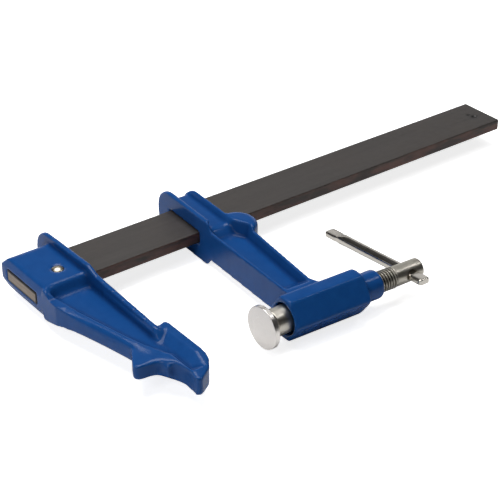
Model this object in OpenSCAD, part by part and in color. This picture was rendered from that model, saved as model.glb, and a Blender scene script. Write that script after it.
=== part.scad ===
// Quick release bar clamp: flat bar, riveted fixed jaw, sliding jaw with screw spindle.
// Origin: centre line of the clamping screw on the clamping face of the fixed jaw.
// +X runs along the bar towards the screw, the jaws reach towards -Y, +Z is up.

/* [Bar] */
// Width of the bar section
bar_w = 35; // [30:0.5:40]
// Thickness of the bar section
bar_t = 8; // [6:0.5:10]
// Length of the bar
bar_len = 400; // [250:10:800]
// Diameter of the punched stop near the free end
stop_d = 5; // [3:0.5:7]
// Distance of the punched stop from the free end
stop_inset = 11; // [8:1:30]

/* [Fixed jaw] */
// Clamping face to the end of the bar
face_inset = 43; // [42:0.5:46]
// Clamp line to the near edge of the bar
throat = 103.5; // [102:0.5:110]
// Height of the head around the bar
head_h = 22; // [20:0.5:24]
// Height of the clamp side flange at the bar
flange_h = 32.8; // [31:0.2:35]
// Thickness of the clamp side flange
flange_t = 3.3; // [3:0.1:4]
// Clamping face to the front of the flange
flange_back = 8.1; // [7.5:0.1:9]
// Height of the clamping nose
nose_h = 16.8; // [16:0.2:18]
// Length of the clamping nose
nose_len = 43; // [40:0.5:45]
// Thickness of the web in both arms
web_t = 7.4; // [6:0.2:9]
// Half height of the round outer bead of the fixed arm
bead_h = 6.8; // [6:0.1:7.4]
// Angle between the outer bead and the flange, in degrees
bead_lean = 13; // [12.5:0.1:14]
// Clearance of the bar in its seat
seat_gap = 0.2; // [0.1:0.05:0.3]
// Diameter of the cross rivet
rivet_d = 6; // [5:0.5:7]
// Diameter of the rivet heads
rivet_head_d = 8.6; // [8:0.2:10]
// Rivet to the end of the bar
rivet_x = 20.4; // [18:0.2:23]
// Rivet to the near edge of the bar
rivet_y = 7.4; // [6:0.2:12]

/* [Sliding jaw] */
// Lean of the sliding jaw in its slot, in degrees
jaw_lean = 3; // [1:0.25:3.5]
// Gap left between the bar and the slot corners
slot_gap = 0.3; // [0.3:0.05:0.5]
// Gap above and below the bar in the slot
slot_side_gap = 0.55; // [0.3:0.05:0.8]
// Height of the front flange
front_h = 31.8; // [31:0.2:34]
// Height of the arm of the sliding jaw
arm_h = 20.6; // [19:0.2:22]
// Distance between the pad face and the front flange
pad_to_jaw = 26; // [24.5:0.5:27]
// Height of the six sided screw housing
hex_h = 28.2; // [27:0.2:30]
// Width of the screw housing across its corners
hex_w = 29.4; // [28:0.2:31]
// Length of the screw housing
hex_len = 56.5; // [52:0.5:60]
// Diameter of the round collar behind the housing
collar_d = 19; // [18:0.2:22]
// Length of the round collar
collar_len = 14.5; // [10:0.5:16]

/* [Screw] */
// Opening between the fixed jaw face and the pad
opening = 47.3; // [20:0.1:150]
// Outside diameter of the screw thread
screw_d = 14; // [13:0.5:14.5]
// Pitch of the screw thread
pitch = 2; // [1.5:0.5:3]
// Length of the thread that stands out of the collar
thread_out = 13.5; // [10:0.5:24]
// Diameter of the plain screw head
head_d = 13.2; // [12.6:0.1:13.4]
// Length of the plain screw head
head_len = 20.4; // [19:0.2:26]
// Distance of the cross hole from the end of the head
hole_inset = 9.8; // [8:0.2:12]
// Radial running clearance of the screw in its nut bore
nut_clear = 0.06; // [0.02:0.01:0.1]
// Diameter of the ball at the tip of the screw
ball_d = 10; // [9.6:0.1:10.4]
// Diameter of the neck behind the ball
ball_neck_d = 7.2; // [6.6:0.2:7.6]
// Running clearance between the ball and its socket
ball_clear = 0.06; // [0.02:0.01:0.1]

/* [Pad] */
// Diameter of the pad
pad_d = 27.6; // [25:0.2:30]
// Thickness of the pad disc
pad_t = 3.2; // [2.5:0.1:4]
// Diameter of the neck between the disc and the ball cup
pad_neck_d = 16.4; // [15:0.2:17]
// Diameter of the ball cup behind the neck
cup_d = 17.6; // [17.2:0.1:18.4]
// Distance between the pad face and the front of the ball cup
cup_inset = 6.7; // [5.5:0.1:8]
// Distance between the pad face and the centre of the ball
ball_inset = 13.5; // [11.5:0.1:15]
// Swivel of the pad to either side, in degrees
swivel = 5; // [2:0.5:5]

/* [Handle] */
// Diameter of the handle rod
rod_d = 7.2; // [6:0.2:7.4]
// Distance between the two flattened ends
rod_free = 72.6; // [60:0.2:120]
// Length of each flattened end
flat_len = 12.6; // [11:0.2:14]
// Width of each flattened end
flat_w = 8.4; // [8:0.2:10]
// Thickness of each flattened end
flat_t = 4; // [3:0.2:4.2]
// Radial running clearance of the rod in the screw head
rod_clear = 0.08; // [0.03:0.01:0.1]
// Turn of the handle about the screw, in degrees
handle_turn = -7.1; // [-30:0.1:30]

/* [Hidden] */
$fn = 48;
eps = 0.02;
// positions along the clamp axis of the sliding jaw, measured in its own leaning frame
pad_s = opening;
flange_s = pad_s + pad_to_jaw;
hex_s = pad_s + 16.5;
collar_s = hex_s + hex_len;
collar_end = collar_s + collar_len;
head_s = collar_end + thread_out;
end_s = head_s + head_len;
hole_s = end_s - hole_inset;
ball_s = pad_s + ball_inset;
cup_end = ball_s + 8.5;
shank_s = cup_end + 1.3;
// mouth of the housing around the ball cup
mouth_d = cup_d + 3;
// bar position
bar_y0 = throat;
bar_y1 = throat + bar_w;
bar_mid = throat + bar_w / 2;
bar_x0 = -face_inset;
// punched stop to the near edge of the bar
stop_y = 0.417 * bar_w;
// depth of the countersink under the rivet heads
rivet_sink = 0.8;
// sliding head: front flange, block, rear boss
front_t = 3.6;
block_len = 20.6;
boss_r = 13.6;
arm_len_head = 26.2;
arm_len_tip = 20.2;
slot_mid_s = flange_s + block_len / 2;
slot_mid_t = slot_mid_s * tan(jaw_lean) + bar_mid / cos(jaw_lean);
slot_w = bar_w / cos(jaw_lean) + block_len * tan(jaw_lean) + 2 * slot_gap;
slot_h = bar_t + 2 * slot_side_gap;
slot_t0 = slot_mid_t - slot_w / 2;
slot_t1 = slot_mid_t + slot_w / 2;
// retaining ring, measured from the centre of the ball
ring_s0 = 4.2;
ring_s1 = 5.4;
ring_r0 = ball_neck_d / 2 + ball_clear;
ring_r1 = 6.4;

// point list of an outline whose corners carry their own radius [x, y, r]
function unit(v) = v / norm(v);
function corner(a, b, c, n) =
    let (u = unit([a[0] - b[0], a[1] - b[1]]), v = unit([c[0] - b[0], c[1] - b[1]]))
    let (half = acos(max(-1, min(1, u * v))) / 2, m = unit(u + v))
    let (p = [b[0], b[1]], o = p + m * b[2] / sin(half), d = b[2] / tan(half))
    let (s = p + u * d - o, e = p + v * d - o)
    let (a0 = atan2(s[1], s[0]), a1 = atan2(e[1], e[0]))
    let (w = a1 - a0, turn = w > 180 ? w - 360 : (w < -180 ? w + 360 : w))
    [for (i = [0:n]) o + b[2] * [cos(a0 + turn * i / n), sin(a0 + turn * i / n)]];
function rounded(pts, n = 5) =
    [for (i = [0:len(pts) - 1])
        let (a = pts[(i + len(pts) - 1) % len(pts)], b = pts[i], c = pts[(i + 1) % len(pts)])
        each (b[2] > 0 ? corner(a, b, c, n) : [[b[0], b[1]]])];
function flip(pts) = [for (i = [len(pts) - 1:-1:0]) [pts[i][0], -pts[i][1], pts[i][2]]];

module outline(pts, n = 5) polygon(rounded(pts, n));
// extrusions: plan, view from the side, view along the bar
module plan(z0, z1) translate([0, 0, z0]) linear_extrude(z1 - z0) children();
module across(x0, x1) translate([x0, 0, 0]) rotate([90, 0, 90]) linear_extrude(x1 - x0) children();
module along(y0, y1) translate([0, y1, 0]) rotate([90, 0, 0]) linear_extrude(y1 - y0) children();
module rod_x(x0, x1, d) translate([x0, 0, 0]) rotate([0, 90, 0]) cylinder(h = x1 - x0, d = d);
module leaning() rotate([0, 0, -jaw_lean]) children();

// flat bar with rounded long edges and a punched stop
module bar() color("#4a4644") {
    r = 0.7;
    h = bar_t / 2;
    difference() {
        across(bar_x0, bar_x0 + bar_len)
            outline([[bar_y0, -h, r], [bar_y1, -h, r], [bar_y1, h, r], [bar_y0, h, r]], 3);
        translate([bar_x0 + bar_len - stop_inset, bar_y0 + stop_y, h + stop_d * 0.25])
            sphere(d = stop_d * 1.2);
        translate([bar_x0 + rivet_x, bar_y0 + rivet_y, -h - 1])
            cylinder(h = bar_t + 2, d = rivet_d);
    }
}

// fixed jaw: half heights, how far the head stands past the bar on both sides, end face drawn in
fh = flange_h / 2;
nh = nose_h / 2;
head_far = 8.8;
head_near = 10.5;
head_draw = 2;
// clamp side flange of the fixed jaw, seen along the bar
lobe_out = 17.6;
lobe_r = 13.4;
nose_y1 = nose_len - 15.2;
nose_y0 = nose_y1 - nose_len;
// where the outer bead starts at the palm, and its width
bead_x = -29.9;
bead_y = 24;
bead_w = 6.2;
flange_up = [
    [bar_y1 + lobe_out, fh - 1.2, lobe_r], [bar_y0 - 8, fh, 6], [bar_y0 - 17, fh - 3.4, 6],
    [nose_y1 - 5, nh + 1.2, 3], [nose_y1 - 9, nh, 3], [nose_y0, nh - 1.6, 3]
];
module flange_2d() outline(concat(flange_up, flip(flange_up)), 9);
// height of palm and nose, seen along the bar: it falls towards the toe
toe_out = 16.5;
toe_h = 5.4;
toe_up = [
    [bar_y0, head_h / 2, 0], [nose_y1, head_h / 2, 0], [-7, nh + 0.2, 12], [nose_y0 - toe_out, toe_h, 2.5]
];
module toe_2d() outline(concat(toe_up, flip(toe_up)), 8);

// outer outline of the arm, palm, finger hook and toe, seen from above
hook_pts = [
    [-flange_back - flange_t - 1, bar_y0 - 8, 0], [-face_inset, bar_y0 - 8, 0],
    [-29.2, 20, 1.5], [-31.2, 17.2, 2], [-35.6, 10, 7], [-39, 2, 3.4], [-32.8, 1.8, 5],
    [-24, 0.4, 9], [-16.4, -12.5, 18], [-16.8, -28.4, 1.5], [-10.4, -25, 3], [-1, nose_y0 - 2, 4],
    [-1, nose_y1 - 1.5, 1], [-flange_back - 2, nose_y1 - 1.5, 0]
];
module hook_2d() outline(hook_pts, 6);
// thick end of the nose with the clamping face and the toe
nose_pts = [
    [-flange_back - flange_t, nose_y1 - 1.6, 0], [-flange_back + 0.6, nose_y1 - 2, 1],
    [0, nose_y1, 2], [0, nose_y0 + 1.5, 6], [-5.2, nose_y0 - 7.6, 9],
    [-16.4, nose_y0 - 14.6, 2], [-17.6, nose_y0 - 11.4, 1.4], [-14, nose_y0 + 8, 6]
];
module nose_2d() outline(nose_pts, 6);
// height of arm, hook and nose, seen along the arm: highest at the clamping face
top_up = [[-face_inset - 1, 4.4, 0], [-38, 4.6, 8], [-24, 5.4, 8], [-17, 7, 8], [-9, nh, 8], [1, nh, 0]];
module top_2d() outline(concat(top_up, flip(top_up)), 5);
// pocket that leaves the web: outline from above, and its far wall that slopes up to the head
pocket_pts = [
    [-flange_back - flange_t, bar_y0 - 5, 0], [-face_inset + 5.5, bar_y0 - 5, 0],
    [-face_inset + 5.5, bar_y0 - head_near - 3, 9], [-26.6, 36, 30], [-13.2, -9, 2]
];
module pocket() intersection() {
    plan(web_t / 2, head_h) outline(pocket_pts, 6);
    across(-face_inset, 0)
        outline([[-20, web_t / 2, 0], [bar_y0 - head_near - 1, web_t / 2, 2.5],
            [bar_y0 - head_near + 4.6, head_h / 2 + 2, 0], [bar_y0 - head_near + 4.6, head_h, 0],
            [-20, head_h, 0]], 5);
}
// valley behind the clamping face: a slope from the rim of the nose to the web, ramped at both ends
valley_rim = 4.5;
valley_x = -12.6;
module valley() intersection() {
    rise = (nh - web_t / 2) / (-valley_rim - valley_x);
    along(-30, nose_y1)
        polygon([[0, web_t / 2 - valley_x * rise], [valley_x, web_t / 2], [valley_x - 0.8, web_t / 2],
            [valley_x - 5, nh + 1], [valley_x - 5, head_h], [0, head_h]]);
    across(-20, 0)
        outline([[nose_y0 - 10, nh + 1, 0], [nose_y0 - 1, web_t / 2, 9], [nose_y1 - 12, web_t / 2, 9],
            [nose_y1 - 4, nh + 3, 0], [nose_y1 - 4, head_h, 0], [nose_y0 - 10, head_h, 0]], 6);
}
// round outer bead of the fixed arm with the given half height
module bead(half) translate([bead_x, bead_y, 0]) rotate([0, 0, bead_lean]) along(-bead_y - 8, bar_y0)
    outline([[0, -half, 4.5], [bead_w, -half, 1.5], [bead_w, half, 1.5], [0, half, 4.5]], 6);

// its height, seen along the bar: at the head and at the palm
bead_head_up = [
    [bar_y0 - 7, head_h / 2, 0], [bar_y0 - head_near + 1, head_h / 2, 0],
    [bar_y0 - head_near - 18, bead_h - 0.5, 9], [-8, 0.5, 0]
];
bead_palm_up = [[bar_y0 - 7, bead_h, 0], [bead_y - 2, bead_h, 10], [-2, 4.4, 8], [-8, 4.2, 0]];

module fixed_jaw() color("#1b4f91") {
    hh = head_h / 2;
    far = bar_y1 + head_far;
    near = bar_y0 - head_near;
    fx0 = -flange_back - flange_t;
    difference() {
        union() {
            // head around the bar, rounded in all three views, its end face drawn in above and below
            intersection() {
                across(-face_inset, -flange_back)
                    outline([[near, -hh, 3.5], [far - 7.6, -hh, 6], [far, -4, 6], [far, 4, 6],
                        [far - 7.6, hh, 6], [near, hh, 3.5]], 7);
                along(near - 1, far + 1)
                    outline([[-face_inset, -5, 4], [-face_inset + head_draw, -hh, 2], [-flange_back, -hh, 0],
                        [-flange_back, hh, 0], [-face_inset + head_draw, hh, 2], [-face_inset, 5, 4]], 6);
                plan(-hh, hh)
                    outline([[-face_inset, near, 0], [-flange_back, near, 0], [-flange_back, far, 0],
                        [-face_inset, far, 2.5]], 6);
            }
            // flange with its far lobe
            across(fx0, -flange_back) flange_2d();
            // webbed arm, palm, hook and nose with its toe
            intersection() {
                plan(-hh, hh) {
                    hook_2d();
                    nose_2d();
                }
                along(-40, bar_y0) top_2d();
                across(-face_inset - 1, 1) toe_2d();
            }
            // round outer bead along the outer edge, lower at the palm and higher where it meets the head
            for (b = [[hh - 0.2, bead_head_up], [bead_h, bead_palm_up]]) intersection() {
                bead(b[0]);
                across(-face_inset, -flange_back) outline(concat(b[1], flip(b[1])), 6);
            }
        }
        // pockets above and below the web
        for (s = [0, 1]) mirror([0, 0, s]) {
            pocket();
            valley();
        }
        // seat of the bar, open at both ends
        translate([-face_inset - 1, bar_y0 - seat_gap, -bar_t / 2 - seat_gap])
            cube([face_inset + 10, bar_w + 2 * seat_gap, bar_t + 2 * seat_gap]);
        // rivet hole with a shallow countersink on both sides
        translate([bar_x0 + rivet_x, bar_y0 + rivet_y, -hh - 1]) cylinder(h = head_h + 2, d = rivet_d);
        for (s = [0, 1]) mirror([0, 0, s])
            translate([bar_x0 + rivet_x, bar_y0 + rivet_y, hh - rivet_sink])
                cylinder(h = 2, d = rivet_head_d + 0.4);
    }
}

// cross rivet through head and bar with two domed heads
module jaw_rivet() color("#b9b6b0") {
    hh = head_h / 2;
    cap = rivet_head_d / 2;
    rise = 1.7;
    ball = (cap * cap + rise * rise) / (2 * rise);
    translate([bar_x0 + rivet_x, bar_y0 + rivet_y, 0]) {
        cylinder(h = head_h - 2 * rivet_sink + 2 * eps, d = rivet_d, center = true);
        for (s = [0, 1]) mirror([0, 0, s]) intersection() {
            translate([0, 0, hh - rivet_sink]) cylinder(h = rise, r = cap);
            translate([0, 0, hh - rivet_sink + rise - ball]) sphere(r = ball, $fn = 64);
        }
    }
}

// front flange of the sliding jaw, seen along the screw
sh = front_h / 2;
ah = arm_h / 2;
front_out = 13.9;
front_up = [[slot_t1 + front_out, sh, sh - 2.4], [slot_t0 - 9, sh, 5], [slot_t0 - 14.5, ah, 5]];
module front_2d() outline(concat(front_up, flip(front_up)), 9);
// rear flange and the boss below it
rear_h = 13;
rear_out = 8.6;
rear_t = 4;
boss_h = rear_h + 0.2;
boss_turn = 28.3;
rear_rim = 1.4;
rear_up = [[slot_t1 + rear_out, rear_h, rear_h - 1], [slot_t0 - 12, rear_h, 0]];
module rear_2d() outline(concat(rear_up, flip(rear_up)), 9);
// half height of the head block, and bottom of the trough between the two flanges
block_z = 11;
trough_z = 9.2;
// six sided section of the screw housing
hex_flat = 9.8;
function hex_pts(r) = [
    [-hex_flat / 2, -hex_h / 2, r], [hex_flat / 2, -hex_h / 2, r], [hex_w / 2, 0, r],
    [hex_flat / 2, hex_h / 2, r], [-hex_flat / 2, hex_h / 2, r], [-hex_w / 2, 0, r]
];

// arm between head and housing, seen from above
tip_s = hex_s + 9.4;
arm_pts = [
    [flange_s, slot_t0 - 12, 0], [tip_s, 10, 0], [tip_s, -4, 0], [tip_s + arm_len_tip, -4, 0],
    [tip_s + arm_len_tip + 5, 7, 1], [tip_s + arm_len_tip + 1, 15, 9],
    [flange_s + arm_len_head, slot_t0 - 20, 4], [flange_s + arm_len_head, slot_t0 - 12, 0]
];
// pocket above the web: thin rim at the front flange, ramps at both ends, and sloping walls
// at the screw side and below the boss
rim_t = 2;
module arm_pocket() intersection() {
    wall_s = flange_s + arm_len_head;
    wall_turn = atan((wall_s - tip_s - arm_len_tip - 1) / (slot_t0 - 20 - 15));
    rear_s = flange_s + block_len;
    plan(web_t / 2, sh + 4)
        outline([[flange_s + rim_t, slot_t0 - 7, 0], [tip_s + rim_t, 8, 3], [tip_s + arm_len_tip - 1, 8, 3],
            [tip_s + arm_len_tip + 0.4, 17, 6], [wall_s - 0.6, slot_t0 - 26, 8],
            [rear_s + 3.6, slot_t0 - 18, 6], [rear_s - rear_rim, slot_t0 - 11, 3],
            [rear_s - rear_rim, slot_t0 - 7, 0]], 6);
    across(flange_s - 1, wall_s + 1)
        outline([[22, web_t / 2, 3], [slot_t0 - 14.7, web_t / 2, 3], [slot_t0 - 7.5, trough_z + 1, 0],
            [slot_t0 - 7.5, sh + 4, 0], [6, sh + 4, 0], [6, 14.8, 0]], 5);
    translate([wall_s, slot_t0 - 20, 0]) rotate([0, 0, -wall_turn]) along(-slot_t0, 30)
        polygon([[-40, 0], [-4.4, 0], [0.6, sh + 4], [-40, sh + 4]]);
    translate([rear_s + 4.2, slot_t0 - 20.6, 0]) rotate([0, 0, boss_turn]) along(-slot_t0, 40)
        polygon([[-slot_t0, 0], [-3.8, 0], [2, sh + 4], [-slot_t0, sh + 4]]);
}
// trough between the front and the rear flange, with a sloping wall below the thin rear rim
module trough() along(slot_t0 - 11, slot_t1 + 20)
    polygon([[flange_s + front_t, trough_z], [flange_s + block_len - rear_t + 0.6, trough_z],
        [flange_s + block_len - rear_rim, rear_h], [flange_s + block_len - rear_rim, sh + 4],
        [flange_s + front_t, sh + 4]]);

module sliding_jaw() color("#1b4f91") leaning() {
    s0 = flange_s;
    difference() {
        union() {
            difference() {
                union() {
                    // head block around the bar
                    across(s0, s0 + block_len)
                        outline([[slot_t0 - 15, -block_z, 3], [slot_t1 + 5, -block_z, 7],
                            [slot_t1 + 5, block_z, 7], [slot_t0 - 15, block_z, 3]], 6);
                    // front flange, rear flange and the round rear boss that bears on the bar
                    across(s0, s0 + front_t) front_2d();
                    across(s0 + block_len - rear_t, s0 + block_len) rear_2d();
                    intersection() {
                        translate([s0 + block_len, slot_t0 - boss_r, 0]) rotate_extrude($fn = 64)
                            outline([[0, -boss_h, 0], [boss_r, -boss_h, 3.4], [boss_r, boss_h, 3.4],
                                [0, boss_h, 0]], 6);
                        across(s0 + block_len - 2, s0 + 2 * block_len)
                            translate([0, -sh]) square([slot_t0 + 0.5, 2 * sh]);
                    }
                    plan(-ah, ah) outline(arm_pts, 5);
                }
                for (s = [0, 1]) mirror([0, 0, s]) {
                    arm_pocket();
                    trough();
                }
            }
            // six sided housing with rounded ends and its rear collar
            intersection() {
                across(hex_s, collar_s) outline(hex_pts(1.6), 3);
                translate([hex_s, 0, 0]) rotate([0, 90, 0])
                    rotate_extrude($fn = 64)
                        outline([[0, 0, 0], [14.2, 0, 2.5], [18, 6, 3], [18, hex_len - 7, 4],
                            [13.6, hex_len, 2.5], [0, hex_len, 0]], 4);
            }
            translate([collar_s - 1, 0, 0]) rotate([0, 90, 0])
                rotate_extrude($fn = 64)
                    outline([[0, 0, 0], [collar_d / 2, 0, 0], [collar_d / 2, collar_len + 1, 2],
                        [0, collar_len + 1, 0]], 4);
        }
        // slot for the bar
        translate([s0 - 1, slot_t0, -slot_h / 2]) cube([block_len + 12, slot_w, slot_h]);
        // clearance bore in front and nut bore behind
        rod_x(hex_s - 1, collar_s - 22, mouth_d);
        rod_x(collar_s - 23, collar_end + 1, screw_d + 2 * nut_clear);
    }
}

// screw with ball tip, threaded length as a plain cylinder and drilled head
module spindle() color("#b9b6b0") leaning() {
    r = screw_d / 2;
    rh = head_d / 2;
    difference() {
        union() {
            translate([ball_s, 0, 0]) sphere(d = ball_d, $fn = 64);
            rod_x(ball_s, shank_s + 1, ball_neck_d);
            translate([shank_s, 0, 0]) rotate([0, 90, 0])
                rotate_extrude($fn = 64)
                    outline([[0, 0, 0], [r, 0, pitch / 2], [r, head_s - shank_s - 0.4 * pitch, 0],
                        [rh, head_s - shank_s, 0], [rh, end_s - shank_s, 1.6],
                        [0, end_s - shank_s, 0]], 5);
        }
        // cross hole with a chamfer at both mouths
        translate([hole_s, 0, 0]) rotate([handle_turn, 0, 0]) rotate([90, 0, 0]) {
            cylinder(h = 2 * r + 2, d = rod_d + 2 * rod_clear, center = true);
            for (s = [0, 1]) mirror([0, 0, s])
                translate([0, 0, rh - 1.3]) cylinder(h = 2, r1 = rod_d / 2, r2 = rod_d / 2 + 2);
        }
    }
}

// handle rod that slides through the screw head, both ends pressed flat
module tommy_bar() color("#b9b6b0") leaning() {
    near_end = -head_d / 2 + 1;
    r = rod_d / 2;
    cone = 5;
    translate([hole_s, 0, 0]) rotate([handle_turn, 0, 0]) {
        translate([0, near_end - cone, 0]) rotate([-90, 0, 0])
            rotate_extrude($fn = 48)
                polygon([[0, 0], [flat_t / 2 - 0.3, 0], [r, cone], [r, cone + rod_free],
                    [flat_t / 2 - 0.3, rod_free + 2 * cone], [0, rod_free + 2 * cone]]);
        for (e = [0, 1]) translate([0, near_end + e * rod_free, 0]) mirror([0, 1 - e, 0])
            plan(-flat_t / 2, flat_t / 2)
                outline([[2 - r, -1.5, 0], [r - 2, -1.5, 0], [r - 1, 0.6, 0], [flat_w / 2, 3.2, 2],
                    [flat_w / 2, flat_len, 2], [-flat_w / 2, flat_len, 2],
                    [-flat_w / 2, 3.2, 2], [1 - r, 0.6, 0]], 4);
    }
}

// swivel pad: disc, neck and ball cup, square to the bar
module pad() color("#cfccc6") translate(leaned(ball_s)) {
    // room that the ring sweeps when the pad swivels
    reach = norm([ring_s1, ring_r1]);
    groove_r = reach * sin(atan2(ring_r1, ring_s1) + swivel) + 0.35;
    groove_s0 = norm([ring_s0, ring_r1]) * cos(atan2(ring_r1, ring_s0) + swivel) - 0.35;
    groove_s1 = reach * cos(atan2(ring_r1, ring_s1) - swivel) + 0.35;
    difference() {
        rotate([0, 90, 0]) rotate_extrude($fn = 64) {
            outline([[0, -ball_inset, 0], [pad_d / 2, -ball_inset, 0.6],
                [pad_d / 2, pad_t - ball_inset, 0.6], [0, pad_t - ball_inset, 0]], 3);
            outline([[0, 1 - ball_inset, 0], [pad_neck_d / 2, 1 - ball_inset, 0],
                [pad_neck_d / 2, cup_inset - ball_inset, 0], [cup_d / 2 - 0.3, cup_inset - ball_inset, 0],
                [cup_d / 2, cup_inset - ball_inset + 0.5, 0], [cup_d / 2, 8.5, 1], [0, 8.5, 0]], 4);
        }
        sphere(d = ball_d + 2 * ball_clear, $fn = 64);
        rod_x(0, groove_s1, ball_d + 2 * ball_clear);
        rod_x(groove_s0, groove_s1, 2 * groove_r);
        rod_x(groove_s1 - 1, 10, 2 * ring_r1 - 1);
    }
}
function leaned(s) = [s * cos(jaw_lean), -s * sin(jaw_lean), 0];

// ring behind the ball that keeps the pad on the screw
module pad_ring() color("#8f8c86") leaning() translate([ball_s, 0, 0]) rotate([0, 90, 0])
    rotate_extrude($fn = 48)
        translate([ring_r0, ring_s0]) square([ring_r1 - ring_r0, ring_s1 - ring_s0]);

bar();
fixed_jaw();
jaw_rivet();
sliding_jaw();
spindle();
tommy_bar();
pad();
pad_ring();
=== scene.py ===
import math

import bmesh
import bpy
import numpy as np
from mathutils import Matrix, Vector


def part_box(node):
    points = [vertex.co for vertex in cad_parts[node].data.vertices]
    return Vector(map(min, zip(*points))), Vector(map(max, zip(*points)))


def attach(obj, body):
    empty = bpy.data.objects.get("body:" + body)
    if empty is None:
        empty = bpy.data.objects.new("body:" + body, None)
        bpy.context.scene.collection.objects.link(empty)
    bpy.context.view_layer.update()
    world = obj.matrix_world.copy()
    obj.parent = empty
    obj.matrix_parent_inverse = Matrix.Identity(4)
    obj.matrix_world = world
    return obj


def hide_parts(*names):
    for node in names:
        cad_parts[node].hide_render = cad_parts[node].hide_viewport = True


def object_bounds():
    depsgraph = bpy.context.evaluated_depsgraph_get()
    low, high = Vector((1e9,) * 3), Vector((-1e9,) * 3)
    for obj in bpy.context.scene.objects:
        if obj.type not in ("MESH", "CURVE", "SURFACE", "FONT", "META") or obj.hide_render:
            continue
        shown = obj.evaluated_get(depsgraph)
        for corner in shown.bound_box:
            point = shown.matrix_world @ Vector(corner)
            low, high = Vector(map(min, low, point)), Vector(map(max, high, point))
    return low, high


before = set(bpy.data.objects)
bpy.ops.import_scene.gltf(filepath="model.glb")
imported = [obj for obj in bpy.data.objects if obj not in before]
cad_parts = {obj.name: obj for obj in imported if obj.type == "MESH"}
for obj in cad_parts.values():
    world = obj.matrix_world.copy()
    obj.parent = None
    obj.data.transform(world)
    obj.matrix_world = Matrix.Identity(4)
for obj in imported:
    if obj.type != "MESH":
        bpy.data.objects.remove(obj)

cad_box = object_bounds()

# ---------------------------------------------------------------- sizes, in millimetres
MM = 0.001
LEAN = math.radians(3.0)
BAR_START, BAR_LEN, BAR_WIDE, BAR_THICK, BAR_NEAR = -43.0, 400.0, 35.0, 8.0, 103.5
BAR_EDGE_R, SAWN_EDGE, CAP_RINGS = 0.8, (0.5, 0.45), (2.0, 1.0, 0.55)
STOP_DENTS = ((389.0, -2.9, 1.7, 1.15), (387.1, 1.4, 1.2, 0.35))  # along, across, half width, depth
HEAD_HALF, BEAD_HALF = 11.0, 6.8
RIVET_X, RIVET_Y, RIVET_CAP_R, RIVET_RISE, RIVET_R = -22.6, 110.9, 4.3, 1.7, 3.0
BALL_S, BALL_R, NECK_R = 60.8, 5.0, 3.6
SHANK_S, HEAD_S, END_S, HOLE_S = 70.6, 148.3, 168.7, 158.9
THREAD_R, THREAD_FRONT_R, PITCH, TOOTH, RUN_OUT, HEAD_R = 7.0, 5.5, 2.0, 0.6134, 1.3, 6.6
HOLE_R, HOLE_FLARE = 3.68, 1.5
ROD_R, ROD_NEAR, ROD_FREE, FLAT_LEN, FLAT_WIDER, FLAT_THINNER = 3.6, -5.6, 72.6, 12.6, 0.6, 1.6
HANDLE_TURN = math.radians(-7.1)
PAD_FACE, PAD_R, PAD_BACK, CUP_FRONT, CUP_R, CUP_BACK = -13.5, 13.8, -10.3, -6.8, 8.8, 8.5
PAD_NECK_R, CUP_MOUTH_R, SOCKET_R = 8.2, 5.9, 5.06
GROOVE_FRONT, GROOVE_BACK, GROOVE_R = 3.28, 6.25, 7.2
ON_AXIS = 0.02  # radius left open where a turned path meets the axis, closed by a fan


# ---------------------------------------------------------------- making skins
def leaned(s, t, z):
    """Point of the leaning jaw: s and t are turned by the lean about the height, and millimetres become
    metres."""
    s, t, z = np.broadcast_arrays(s, t, z)
    x = s * math.cos(LEAN) + t * math.sin(LEAN)
    y = -s * math.sin(LEAN) + t * math.cos(LEAN)
    return np.stack([x, y, z], -1) * MM


def rounded(corners, steps=6):
    """Path through corners (a, b, radius): each corner is an arc that touches both of its sides."""
    corners = [np.array(c, float) for c in corners]
    path = [corners[0][:2]]
    for before, here, after in zip(corners, corners[1:], corners[2:]):
        p, r = here[:2], here[2]
        if r == 0:
            path.append(p)
            continue
        u = (before[:2] - p) / np.linalg.norm(before[:2] - p)
        v = (after[:2] - p) / np.linalg.norm(after[:2] - p)
        half = math.acos(np.clip(u @ v, -1, 1)) / 2
        middle = (u + v) / np.linalg.norm(u + v)
        centre = p + middle * r / math.sin(half)
        a = p + u * r / math.tan(half) - centre
        b = p + v * r / math.tan(half) - centre
        sweep = math.acos(np.clip(a @ b / (r * r), -1, 1))
        w = np.linspace(0, 1, steps)[:, None]
        arc = (np.sin((1 - w) * sweep) * a + np.sin(w * sweep) * b) / math.sin(sweep)
        path.extend(centre + arc)
    path.append(corners[-1][:2])
    return np.array(path)


def dense(path, step, hold=0.06):
    """The same path with more points: no stretch between two points is longer than step. A straight stretch
    also gets a point at the distance hold from each of its ends, which keeps it flat under smooth shading."""
    out = [path[:1]]
    for a, b in zip(path, path[1:]):
        long = np.linalg.norm(b - a)
        n = max(1, math.ceil(long / step))
        share = np.arange(1, n + 1) / n
        if long > 5 * hold:
            share = np.unique(np.concatenate([share, [hold / long, 1 - hold / long]]))
        out.append(a + (b - a) * share[:, None])
    return np.concatenate(out)


def piece(name, mesh, body, nodes, sharp=None):
    """Object of a finished mesh: welded, normals outward, smooth shaded, riding on its body."""
    work = bmesh.new()
    work.from_mesh(mesh)
    bmesh.ops.remove_doubles(work, verts=work.verts, dist=1e-7)
    bmesh.ops.recalc_face_normals(work, faces=work.faces)
    work.to_mesh(mesh)
    work.free()
    mesh.shade_smooth()
    if sharp is not None:
        mesh.set_sharp_from_angle(angle=math.radians(sharp))
    made = bpy.data.objects.new(name, mesh)
    bpy.context.scene.collection.objects.link(made)
    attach(made, body)
    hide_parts(*nodes)
    return made


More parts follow.
